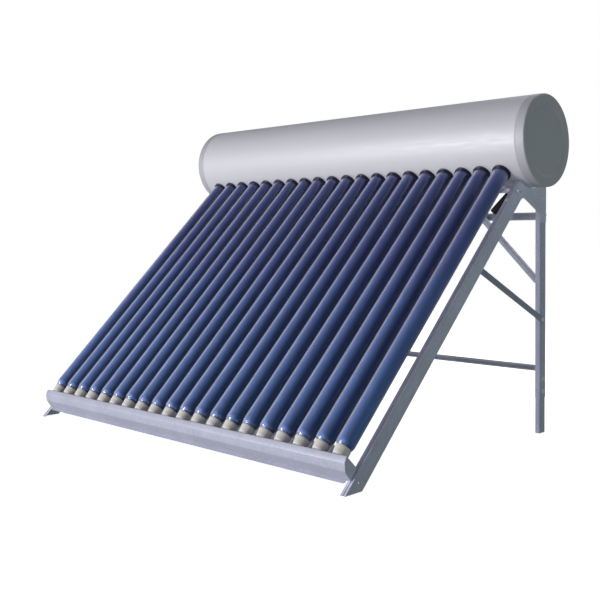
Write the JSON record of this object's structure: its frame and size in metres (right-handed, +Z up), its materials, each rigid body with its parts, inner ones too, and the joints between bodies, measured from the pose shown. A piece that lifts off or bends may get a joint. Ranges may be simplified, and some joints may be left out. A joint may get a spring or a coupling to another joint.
{
  "type": "solar water heater",
  "caption": "Evacuated-tube solar water heater: a horizontal insulated tank above a sloping row of dark glass tubes, on a steel stand with a folded bottom rail.",
  "frame": {"origin": "on the ground, under the middle of the bounding box", "axes": "+X along the tank to its right end seen from the front, +Y towards the rear legs, +Z up; the tubes rise towards +Y"},
  "size_m": [1.862, 1.288, 1.324],
  "materials": {
    "tank_steel": "satin silver-white paint with a lilac tint",
    "foam": "moulded polyurethane foam",
    "stainless": "thin stainless sheet",
    "black_rubber": "glossy near-black silicone rubber",
    "silicone": "matt white silicone",
    "coated_glass": "clear glass over a dark blue absorber coating",
    "cup_plastic": "satin cream plastic",
    "frame_steel": "galvanised sheet steel with a satin grey-lavender coat",
    "socket_steel": "turned steel",
    "hose_rubber": "matt black rubber"
  },
  "bodies": {
    "heater": {"tank_shell": "tank_steel", "tank_cap_left": "tank_steel", "tank_cap_right": "tank_steel", "foam_insulation": "foam", "inner_tank": "stainless", "tube_seals": "silicone", "dust_rings": "black_rubber", "tube_cups": "cup_plastic", "bottom_rail": "frame_steel", "rail_end_left": "frame_steel", "rail_end_right": "frame_steel", "front_leg_left": "frame_steel", "front_leg_right": "frame_steel", "rear_leg_left": "frame_steel", "rear_leg_right": "frame_steel", "rear_foot_left": "frame_steel", "rear_foot_right": "frame_steel", "tank_bracket_left": "frame_steel", "tank_bracket_right": "frame_steel", "rear_upper_bar": "frame_steel", "rear_lower_bar": "frame_steel", "front_cross_bar": "frame_steel", "knee_brace_left": "frame_steel", "knee_brace_right": "frame_steel", "side_brace_left": "frame_steel", "side_brace_right": "frame_steel", "water_socket_left": "socket_steel", "water_socket_right": "socket_steel", "water_hose_left": "hose_rubber", "water_hose_right": "hose_rubber"},
    "tube_01": {"tube_01": "coated_glass"},
    "tube_02": {"tube_02": "coated_glass"},
    "tube_03": {"tube_03": "coated_glass"},
    "tube_04": {"tube_04": "coated_glass"},
    "tube_05": {"tube_05": "coated_glass"},
    "tube_06": {"tube_06": "coated_glass"},
    "tube_07": {"tube_07": "coated_glass"},
    "tube_08": {"tube_08": "coated_glass"},
    "tube_09": {"tube_09": "coated_glass"},
    "tube_10": {"tube_10": "coated_glass"},
    "tube_11": {"tube_11": "coated_glass"},
    "tube_12": {"tube_12": "coated_glass"},
    "tube_13": {"tube_13": "coated_glass"},
    "tube_14": {"tube_14": "coated_glass"},
    "tube_15": {"tube_15": "coated_glass"},
    "tube_16": {"tube_16": "coated_glass"},
    "tube_17": {"tube_17": "coated_glass"},
    "tube_18": {"tube_18": "coated_glass"},
    "tube_19": {"tube_19": "coated_glass"},
    "tube_20": {"tube_20": "coated_glass"}
  },
  "joints": [
    {"name": "tube_01_slide", "type": "slide", "parent": "heater", "child": "tube_01", "axis": [0, 0.7175, 0.6965], "range_m": [0, 0.05]},
    {"name": "tube_02_slide", "type": "slide", "parent": "heater", "child": "tube_02", "axis": [0, 0.7175, 0.6965], "range_m": [0, 0.05]},
    {"name": "tube_03_slide", "type": "slide", "parent": "heater", "child": "tube_03", "axis": [0, 0.7175, 0.6965], "range_m": [0, 0.05]},
    {"name": "tube_04_slide", "type": "slide", "parent": "heater", "child": "tube_04", "axis": [0, 0.7175, 0.6965], "range_m": [0, 0.05]},
    {"name": "tube_05_slide", "type": "slide", "parent": "heater", "child": "tube_05", "axis": [0, 0.7175, 0.6965], "range_m": [0, 0.05]},
    {"name": "tube_06_slide", "type": "slide", "parent": "heater", "child": "tube_06", "axis": [0, 0.7175, 0.6965], "range_m": [0, 0.05]},
    {"name": "tube_07_slide", "type": "slide", "parent": "heater", "child": "tube_07", "axis": [0, 0.7175, 0.6965], "range_m": [0, 0.05]},
    {"name": "tube_08_slide", "type": "slide", "parent": "heater", "child": "tube_08", "axis": [0, 0.7175, 0.6965], "range_m": [0, 0.05]},
    {"name": "tube_09_slide", "type": "slide", "parent": "heater", "child": "tube_09", "axis": [0, 0.7175, 0.6965], "range_m": [0, 0.05]},
    {"name": "tube_10_slide", "type": "slide", "parent": "heater", "child": "tube_10", "axis": [0, 0.7175, 0.6965], "range_m": [0, 0.05]},
    {"name": "tube_11_slide", "type": "slide", "parent": "heater", "child": "tube_11", "axis": [0, 0.7175, 0.6965], "range_m": [0, 0.05]},
    {"name": "tube_12_slide", "type": "slide", "parent": "heater", "child": "tube_12", "axis": [0, 0.7175, 0.6965], "range_m": [0, 0.05]},
    {"name": "tube_13_slide", "type": "slide", "parent": "heater", "child": "tube_13", "axis": [0, 0.7175, 0.6965], "range_m": [0, 0.05]},
    {"name": "tube_14_slide", "type": "slide", "parent": "heater", "child": "tube_14", "axis": [0, 0.7175, 0.6965], "range_m": [0, 0.05]},
    {"name": "tube_15_slide", "type": "slide", "parent": "heater", "child": "tube_15", "axis": [0, 0.7175, 0.6965], "range_m": [0, 0.05]},
    {"name": "tube_16_slide", "type": "slide", "parent": "heater", "child": "tube_16", "axis": [0, 0.7175, 0.6965], "range_m": [0, 0.05]},
    {"name": "tube_17_slide", "type": "slide", "parent": "heater", "child": "tube_17", "axis": [0, 0.7175, 0.6965], "range_m": [0, 0.05]},
    {"name": "tube_18_slide", "type": "slide", "parent": "heater", "child": "tube_18", "axis": [0, 0.7175, 0.6965], "range_m": [0, 0.05]},
    {"name": "tube_19_slide", "type": "slide", "parent": "heater", "child": "tube_19", "axis": [0, 0.7175, 0.6965], "range_m": [0, 0.05]},
    {"name": "tube_20_slide", "type": "slide", "parent": "heater", "child": "tube_20", "axis": [0, 0.7175, 0.6965], "range_m": [0, 0.05]}
  ]
}
